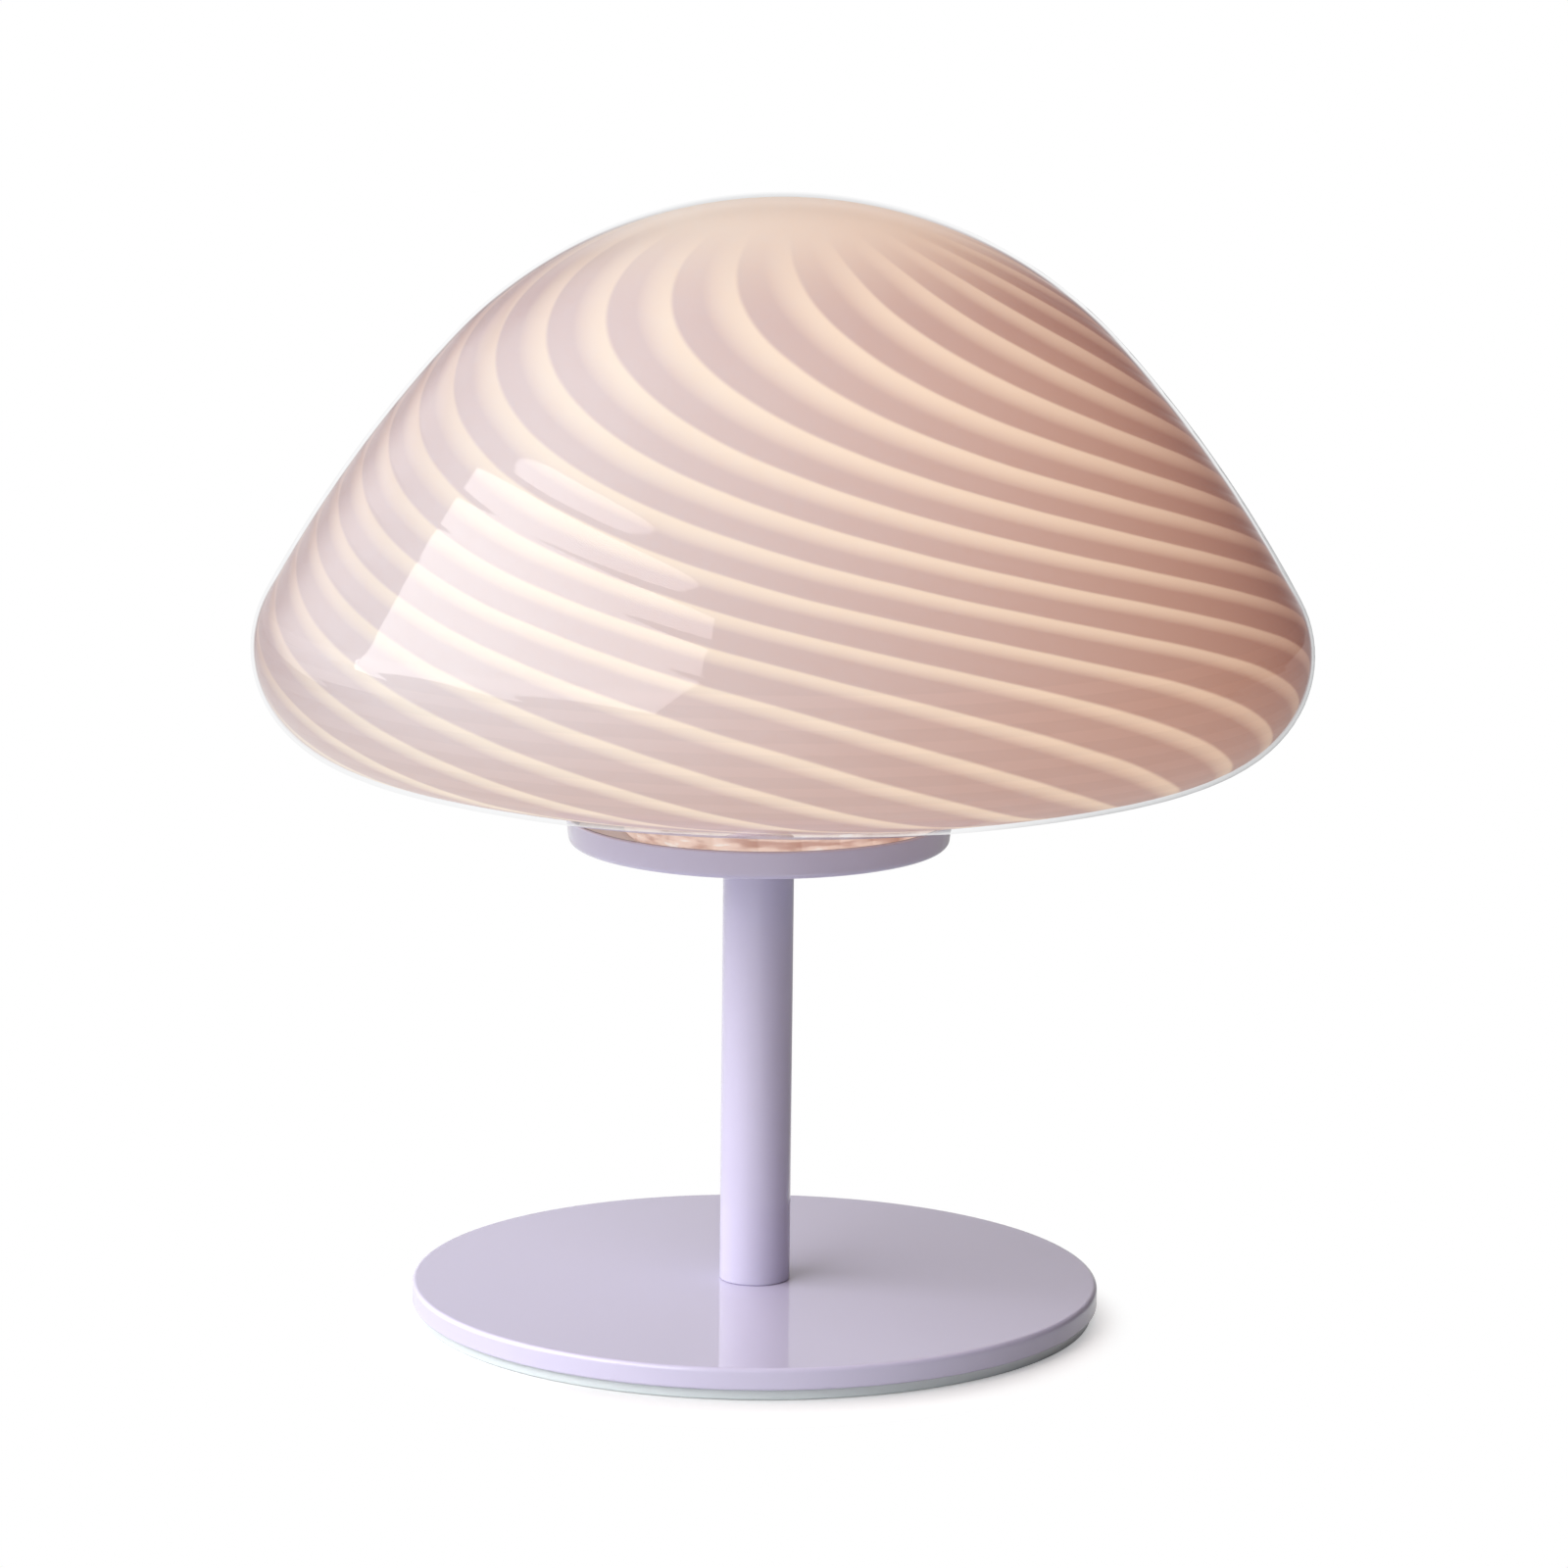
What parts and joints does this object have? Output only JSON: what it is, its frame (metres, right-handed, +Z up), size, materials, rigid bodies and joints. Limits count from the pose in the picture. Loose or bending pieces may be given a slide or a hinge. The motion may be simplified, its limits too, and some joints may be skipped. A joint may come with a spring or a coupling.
{
  "type": "table lamp",
  "caption": "Mushroom table lamp: swirled opal glass shade whose neck stands in a shallow lilac metal dish, on a slim tube stem and a round base plate.",
  "frame": {"origin": "on the stem's axis, on the plane that the base pad rests on", "axes": "+Z up along the stem; +X to the right as the lamp is seen from the front; +Y to the back, where the cord gland is"},
  "size_m": [0.241, 0.241, 0.2581],
  "materials": {
    "clear_pad": "clear, smooth",
    "lilac_lacquer": "glossy powder lacquer",
    "zinc_steel": "bright zinc",
    "lilac_plastic": "smooth moulded",
    "clear_silicone": "translucent, matt",
    "tinned_brass": "tinned",
    "brass": "bright",
    "white_ceramic": "unglazed",
    "white_lacquer": "satin",
    "brown_insulation": "smooth",
    "blue_insulation": "smooth",
    "green_yellow_insulation": "smooth, striped",
    "white_insulation": "braided",
    "clear_sleeve": "smooth",
    "white_plastic": "fine matt",
    "pin_wire": "drawn wire",
    "phosphor": "glowing, matt",
    "clear_glass": "clear",
    "opal_glass": "cased opal with swirled bands under a clear skin, glossy"
  },
  "bodies": {
    "stand": {"base_pad": "clear_pad", "base_plate": "lilac_lacquer", "base_screw": "zinc_steel", "stem_tube": "lilac_lacquer", "stem_foot_plug": "zinc_steel", "stem_head_plug": "zinc_steel", "cord_gland": "lilac_plastic", "stem_nipple": "zinc_steel", "shade_dish": "lilac_lacquer", "dish_liner": "clear_silicone", "holder_bracket": "zinc_steel", "earth_ring": "tinned_brass", "lock_washer": "zinc_steel", "nipple_nut": "brass", "lampholder": "white_ceramic", "holder_contacts": "tinned_brass", "holder_cover": "white_lacquer", "holder_screws": "zinc_steel", "holder_nuts": "zinc_steel", "lead_live": "brown_insulation", "lead_neutral": "blue_insulation", "lead_earth": "green_yellow_insulation", "tail_live": "white_insulation", "tail_neutral": "white_insulation", "wire_splices": "clear_sleeve"},
    "bulb": {"bulb_base": "white_plastic", "bulb_pins": "pin_wire", "bulb_carrier": "white_ceramic", "bulb_emitters": "phosphor", "bulb_envelope": "clear_glass"},
    "shade": {"glass_shade": "opal_glass"}
  },
  "joints": [
    {"name": "shade_lift", "type": "slide", "parent": "stand", "child": "shade", "axis": [0, 0, 1], "range_m": [0, 0.09]},
    {"name": "bulb_pull", "type": "slide", "parent": "stand", "child": "bulb", "axis": [0, 0, 1], "range_m": [0, 0.02]}
  ]
}
